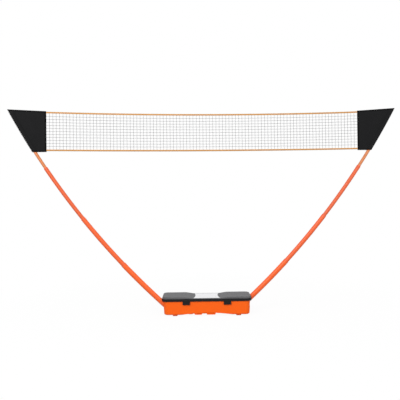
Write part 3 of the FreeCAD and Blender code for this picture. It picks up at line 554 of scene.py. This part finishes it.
def makeBinding(sideName, side, body, height):
    # Webbing sewn down the edge where the net begins, one strip on each face.
    webbing = bmesh.new()
    for face in (1, -1):
        def strip(u, v):
            bulge = math.sin(math.pi * min(1, max(0, u))) ** bindingSize["round"]
            x = bindingSize["start"] + bindingSize["width"] * u
            rise = panelSize["rise"] * x / (tipX - panelSize["inner"])
            z = panelSize["bottom"] + v * (panelSize["top"] + rise - panelSize["bottom"])
            proud = panelSize["flat"] + bindingSize["lift"] + bindingSize["bulge"] * bulge
            return Vector((panelSize["inner"] + x, panelSize["offset"] - face * proud, z))
        bm = mappedGrid(bindingSize["columns"], bindingSize["rows"], strip,
                        (bindingSize["flatWidth"], height))
        gather(webbing, bm, face < 0)
    addPiece(sideName + "PanelBinding", turned(webbing, side), body, blackWebbing,
             stands=[sideName + "_panel_binding"], wall=bindingSize["cloth"])


def makeSeams(sideName, side, body):
    # The outer seam is sewn in pale thread on one face, the other face shows the dark bobbin thread.
    across = panelSize["seamAcross"]
    for face, thread, word in ((1, darkThread, "Dark"), (-1, paleThread, "Pale")):
        bm = bmesh.new()
        length = (panelPoint(across, 1, face) - panelPoint(across, 0, face)).length

        def seam(at):
            here = panelPoint(across, at / length, face, seamSize["lift"])
            return here, Vector((0, -face, 0))
        addStitches(bm, seam, seamSize["stitch"], seamSize["thread"], seamSize["pitch"],
                    int(length / seamSize["pitch"]))
        addPiece(sideName + "Panel" + word + "Stitches", turned(bm, side), body, thread)


def makePanel(sideName, side):
    body = sideName + "_tip_section"
    height = panelSize["top"] - panelSize["bottom"]
    topWidth = panelPoint(1, 1, 1).x - panelSize["inner"]
    lowWidth = panelPoint(1, 0, 1).x - panelSize["inner"]
    flat = (topWidth + panelSize["turning"], height + 2 * panelSize["turning"])
    for face, word in ((1, "Front"), (-1, "Back")):
        bm = mappedGrid(panelSize["columns"], panelSize["rows"],
                        lambda u, v: panelPoint(u, v, face), flat)
        if face < 0:
            bmesh.ops.reverse_faces(bm, faces=bm.faces)
        addPiece(sideName + "Panel" + word, turned(bm, side), body,
                               blackPolyester, stands=[sideName + "_end_panel"],
                               wall=panelSize["cloth"])
    hemPiece = makeHems(sideName, side, body, topWidth)
    makeBinding(sideName, side, body, height)
    makeSeams(sideName, side, body)


makePanel("right", 1)
makePanel("left", -1)

print("stage: studio")
studio = {"floorSize": 14, "paper": 0.9, "bounce": 0.4, "shadow": 0.05, "ambient": 0.5,
          "shadowNear": 0.5, "shadowFar": 2.2,
          "keySize": 2.6, "keyPower": 165, "keyPlace": (-2.0, -3.6, 3.4),
          "fillPower": 60, "fillPlace": (3.0, -3.0, 1.8), "aim": (0, 0, 0.7)}


def seenRays(tree):
    # 1 for what the camera sees, gloss reflects or clear material lets through, otherwise 0
    ray = addNode(tree, "LightPath")
    seen = addNode(tree, "Math", {0: ray.outputs["Is Camera Ray"], 1: ray.outputs["Is Glossy Ray"]},
                   operation="MAXIMUM")
    seen = addNode(tree, "Math", {0: seen.outputs[0], 1: ray.outputs["Is Transmission Ray"]},
                   operation="MAXIMUM")
    return seen.outputs[0]


def makeStudio():
    bm = bmesh.new()
    bmesh.ops.create_grid(bm, x_segments=1, y_segments=1, size=studio["floorSize"] / 2)
    mesh = bpy.data.meshes.new("floor")
    bm.to_mesh(mesh)
    bm.free()
    floor = bpy.data.objects.new("floor", mesh)
    bpy.context.scene.collection.objects.link(floor)
    # White paper: the camera and gloss see it white, and near the object a little of its real light
    # keeps the shadow.
    material, tree = startMaterial("whitePaper")
    seen = seenRays(tree)
    place = addNode(tree, "TexCoord").outputs["Object"]
    away = addNode(tree, "VectorMath", {0: place}, operation="LENGTH")
    plain = addNode(tree, "MapRange", {0: away.outputs["Value"], 1: studio["shadowNear"],
                                       2: studio["shadowFar"], 3: 1 - studio["shadow"], 4: 1})
    share = addNode(tree, "Math", {0: seen, 1: plain.outputs[0]}, operation="MULTIPLY")
    tone = addNode(tree, "MapRange", {0: seen, 3: studio["bounce"], 4: studio["paper"]})
    paper = addNode(tree, "BsdfDiffuse", {"Color": tone.outputs[0]})
    white = addNode(tree, "Emission", {"Color": (1, 1, 1, 1), "Strength": 1})
    sheet = addNode(tree, "MixShader", {0: share.outputs[0], 1: paper.outputs[0], 2: white.outputs[0]})
    addNode(tree, "OutputMaterial", {"Surface": sheet.outputs[0]})
    floor.data.materials.append(material)

    world = bpy.data.worlds.new("studioWorld")
    bpy.context.scene.world = world
    world.use_nodes = True
    tree = world.node_tree
    tree.nodes.clear()
    # The camera and gloss see white all round, and the rest of the room's light is softer.
    seen = seenRays(tree)
    strength = addNode(tree, "MapRange", {0: seen, 3: studio["ambient"], 4: 1})
    sky = addNode(tree, "Background", {"Color": (1, 1, 1, 1), "Strength": strength.outputs[0]})
    addNode(tree, "OutputWorld", {"Surface": sky.outputs[0]})

    for name, place, power in (("keyLight", studio["keyPlace"], studio["keyPower"]),
                               ("fillLight", studio["fillPlace"], studio["fillPower"])):
        light = bpy.data.lights.new(name, "AREA")
        light.size = studio["keySize"]
        light.energy = power
        lamp = bpy.data.objects.new(name, light)
        lamp.location = place
        aim = Vector(studio["aim"]) - Vector(place)
        lamp.rotation_euler = aim.to_track_quat("-Z", "Y").to_euler()
        bpy.context.scene.collection.objects.link(lamp)


makeStudio()

# The camera stands where the poles, net and case in the picture put it.
view = {"x": -0.0564, "distance": 3.6, "height": 0.8487, "yaw": 0.0040, "pitch": -0.0084,
        "roll": -0.0122, "focalPixels": 463.2, "framePixels": 400, "film": 36}
camera = bpy.data.objects.new("camera", bpy.data.cameras.new("camera"))
bpy.context.scene.collection.objects.link(camera)
camera.data.sensor_width = view["film"]
camera.data.lens = view["focalPixels"] * view["film"] / view["framePixels"]
camera.matrix_world = (Matrix.Translation((view["x"], -view["distance"], view["height"]))
                       @ Matrix.Rotation(-view["yaw"], 4, "Z")
                       @ Matrix.Rotation(math.pi / 2 - view["pitch"], 4, "X")
                       @ Matrix.Rotation(view["roll"], 4, "Z"))
bpy.context.scene.camera = camera
bpy.context.scene.view_settings.view_transform = "Standard"

print("stage: done")
